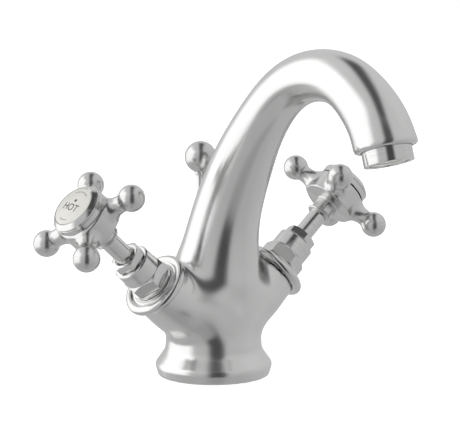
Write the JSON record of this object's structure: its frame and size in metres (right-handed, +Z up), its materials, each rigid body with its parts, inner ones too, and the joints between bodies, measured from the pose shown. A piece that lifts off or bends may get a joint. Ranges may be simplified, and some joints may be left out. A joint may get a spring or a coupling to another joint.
{
  "type": "basin mixer faucet",
  "caption": "Deck-mounted basin mixer faucet with a swan-neck spout, crosshead handles on angled arms and a pop-up waste lift knob behind.",
  "frame": {"origin": "centre of the base's underside, on the deck", "axes": "+Z up, the spout points to -Y, the hot handle at -X and the cold handle at +X"},
  "size_m": [0.1788, 0.1603, 0.1566],
  "materials": {
    "satin_nickel": "satin nickel plate on cast brass",
    "polished_nickel": "polished nickel plate on turned brass",
    "turned_brass": "bare turned brass",
    "stainless": "turned stainless steel",
    "white_ceramic": "glazed",
    "alumina": "lapped",
    "white_plastic": "moulded",
    "rubber": "matt"
  },
  "bodies": {
    "body": {"body_casting": "satin_nickel", "base_gasket": "rubber", "rod_guide": "turned_brass", "aerator_housing": "polished_nickel", "aerator_insert": "white_plastic", "aerator_washer": "rubber", "hot_valve_flange": "satin_nickel", "hot_flange_washer": "rubber", "hot_headgear": "polished_nickel", "hot_gland_nut": "polished_nickel", "hot_gland_packing": "white_plastic", "hot_fixed_disc": "alumina", "hot_seat_seal": "rubber", "cold_valve_flange": "satin_nickel", "cold_flange_washer": "rubber", "cold_headgear": "polished_nickel", "cold_gland_nut": "polished_nickel", "cold_gland_packing": "white_plastic", "cold_fixed_disc": "alumina", "cold_seat_seal": "rubber"},
    "hot_handle": {"hot_moving_disc": "alumina", "hot_spindle": "polished_nickel", "hot_stem_seal_lower": "rubber", "hot_stem_seal_upper": "rubber", "hot_handle_cross": "satin_nickel", "hot_handle_screw": "stainless", "hot_index_bezel": "polished_nickel", "hot_index_disc": "white_ceramic"},
    "cold_handle": {"cold_moving_disc": "alumina", "cold_spindle": "polished_nickel", "cold_stem_seal_lower": "rubber", "cold_stem_seal_upper": "rubber", "cold_handle_cross": "satin_nickel", "cold_handle_screw": "stainless", "cold_index_bezel": "polished_nickel", "cold_index_disc": "white_ceramic"},
    "lift_rod": {"lift_rod": "polished_nickel", "rod_clip": "stainless", "lift_knob": "polished_nickel"}
  },
  "joints": [
    {"name": "hot_valve_turn", "type": "hinge", "parent": "body", "child": "hot_handle", "pos_m": [0, 0, 0.0155], "axis": [-0.7471, -0.0326, 0.6639], "range_deg": [0, 90]},
    {"name": "cold_valve_turn", "type": "hinge", "parent": "body", "child": "cold_handle", "pos_m": [0, 0, 0.0155], "axis": [0.7471, -0.0326, 0.6639], "range_deg": [-90, 0]},
    {"name": "lift_rod_slide", "type": "slide", "parent": "body", "child": "lift_rod", "axis": [0, 0, 1], "range_m": [0, 0.025]}
  ]
}
